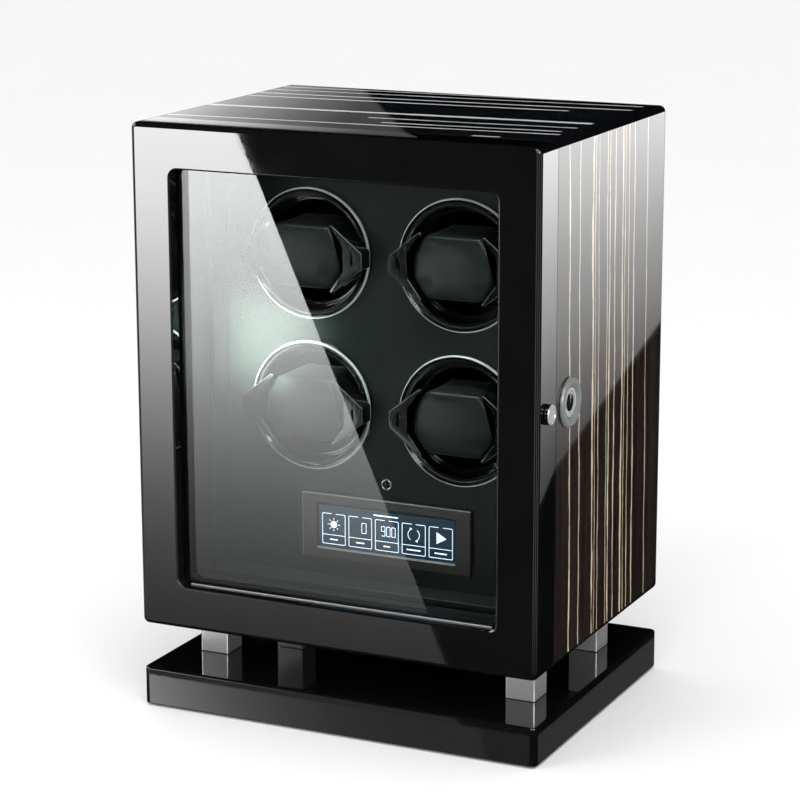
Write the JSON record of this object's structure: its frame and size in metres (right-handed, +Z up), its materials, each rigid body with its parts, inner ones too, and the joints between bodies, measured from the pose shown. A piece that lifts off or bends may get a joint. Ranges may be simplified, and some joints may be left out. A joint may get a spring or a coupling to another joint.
{
  "type": "watch winder box",
  "caption": "Glass-fronted lacquered cabinet on a plinth with posts, holding rows of geared rotors with watch pillows, a touch display and a side lock.",
  "frame": {"origin": "on the floor under the middle of the object, at the bottom of the felt", "axes": "+Z up, the door faces -Y, the lock and knob are on the +X side and the hinges on the -X side"},
  "size_m": [0.277, 0.208, 0.374],
  "materials": {
    "lacquer": "deep gloss piano lacquer",
    "veneer": "ebony veneer with pale lines under gloss lacquer",
    "polished_aluminium": "polished",
    "satin_aluminium": "satin",
    "steel": "zinc plated",
    "felt": "pressed felt",
    "leatherette": "fine grained, satin",
    "pillow": "soft, satin",
    "gloss_plastic": "polished black",
    "bezel": "satin",
    "screen": "backlit display",
    "clear": "clear acrylic",
    "glass": "clear",
    "board": "solder mask",
    "nylon": "moulded",
    "bronze": "sintered",
    "panel": "matt black board",
    "lamp": "opal diffuser"
  },
  "bodies": {
    "cabinet": {"plinth": "lacquer", "base_felt": "felt", "post_front_left": "polished_aluminium", "post_front_right": "polished_aluminium", "post_back_left": "polished_aluminium", "post_back_right": "polished_aluminium", "carcass": "veneer", "back_panel": "panel", "dc_inlet": "gloss_plastic", "liner": "leatherette", "fascia": "leatherette", "display_bezel": "bezel", "display_panel": "screen", "display_board": "board", "remote_receiver": "gloss_plastic", "light_channel": "satin_aluminium", "light_diffuser": "lamp", "mount_plate": "steel", "motor_upper": "steel", "motor_lower": "steel", "control_board": "board", "lock_bezel": "satin_aluminium", "lock_sensor": "gloss_plastic", "lock_body": "steel", "hinge_lower_cabinet_leaf": "steel", "hinge_upper_cabinet_leaf": "steel", "trim_ring_upper_left": "clear", "trim_ring_upper_right": "clear", "trim_ring_lower_left": "clear", "trim_ring_lower_right": "clear", "bearing_upper_left": "bronze", "bearing_upper_right": "bronze", "bearing_lower_left": "bronze", "bearing_lower_right": "bronze"},
    "door": {"door_frame": "lacquer", "door_glass": "glass", "glass_beads": "lacquer", "door_knob": "polished_aluminium", "keeper_plate": "steel", "hinge_lower_door_leaf": "steel", "hinge_upper_door_leaf": "steel"},
    "latch": {"latch_bolt": "steel"},
    "rotor_upper_left": {"rotor_cup_upper_left": "gloss_plastic", "drive_gear_upper_left": "nylon"},
    "rotor_upper_right": {"rotor_cup_upper_right": "gloss_plastic", "drive_gear_upper_right": "nylon"},
    "rotor_lower_left": {"rotor_cup_lower_left": "gloss_plastic", "drive_gear_lower_left": "nylon"},
    "rotor_lower_right": {"rotor_cup_lower_right": "gloss_plastic", "drive_gear_lower_right": "nylon"},
    "holder_upper_left": {"holder_upper_left": "gloss_plastic", "pillow_upper_left": "pillow"},
    "holder_upper_right": {"holder_upper_right": "gloss_plastic", "pillow_upper_right": "pillow"},
    "holder_lower_left": {"holder_lower_left": "gloss_plastic", "pillow_lower_left": "pillow"},
    "holder_lower_right": {"holder_lower_right": "gloss_plastic", "pillow_lower_right": "pillow"},
    "pinion_upper": {"pinion_upper": "nylon"},
    "pinion_lower": {"pinion_lower": "nylon"}
  },
  "joints": [
    {"name": "door_swing", "type": "hinge", "parent": "cabinet", "child": "door", "pos_m": [-0.1363, -0.07775, 0.2145], "axis": [0, 0, -1], "range_deg": [0, 110]},
    {"name": "latch_throw", "type": "slide", "parent": "cabinet", "child": "latch", "axis": [0, -1, 0], "range_m": [0, 0.007]},
    {"name": "rotor_upper_left_spin", "type": "hinge", "parent": "cabinet", "child": "rotor_upper_left", "pos_m": [-0.0515, -0.026, 0.2868], "axis": [0, -1, 0], "continuous": true},
    {"name": "rotor_upper_right_spin", "type": "hinge", "parent": "cabinet", "child": "rotor_upper_right", "pos_m": [0.0515, -0.026, 0.2868], "axis": [0, -1, 0], "continuous": true},
    {"name": "pinion_upper_spin", "type": "hinge", "parent": "cabinet", "child": "pinion_upper", "pos_m": [0, 0.02, 0.2868], "axis": [0, -1, 0], "continuous": true},
    {"name": "rotor_lower_left_spin", "type": "hinge", "parent": "cabinet", "child": "rotor_lower_left", "pos_m": [-0.0515, -0.026, 0.189], "axis": [0, -1, 0], "continuous": true},
    {"name": "rotor_lower_right_spin", "type": "hinge", "parent": "cabinet", "child": "rotor_lower_right", "pos_m": [0.0515, -0.026, 0.189], "axis": [0, -1, 0], "continuous": true},
    {"name": "pinion_lower_spin", "type": "hinge", "parent": "cabinet", "child": "pinion_lower", "pos_m": [0, 0.02, 0.189], "axis": [0, -1, 0], "continuous": true},
    {"name": "holder_upper_left_pull", "type": "slide", "parent": "rotor_upper_left", "child": "holder_upper_left", "axis": [0, -1, 0], "range_m": [0, 0.04]},
    {"name": "holder_upper_right_pull", "type": "slide", "parent": "rotor_upper_right", "child": "holder_upper_right", "axis": [0, -1, 0], "range_m": [0, 0.04]},
    {"name": "holder_lower_left_pull", "type": "slide", "parent": "rotor_lower_left", "child": "holder_lower_left", "axis": [0, -1, 0], "range_m": [0, 0.04]},
    {"name": "holder_lower_right_pull", "type": "slide", "parent": "rotor_lower_right", "child": "holder_lower_right", "axis": [0, -1, 0], "range_m": [0, 0.04]}
  ],
  "couplings": [
    {"joint": "rotor_upper_right_spin", "follows": "rotor_upper_left_spin", "ratio": 1},
    {"joint": "pinion_upper_spin", "follows": "rotor_upper_left_spin", "ratio": -4},
    {"joint": "rotor_lower_right_spin", "follows": "rotor_lower_left_spin", "ratio": 1},
    {"joint": "pinion_lower_spin", "follows": "rotor_lower_left_spin", "ratio": -4}
  ]
}
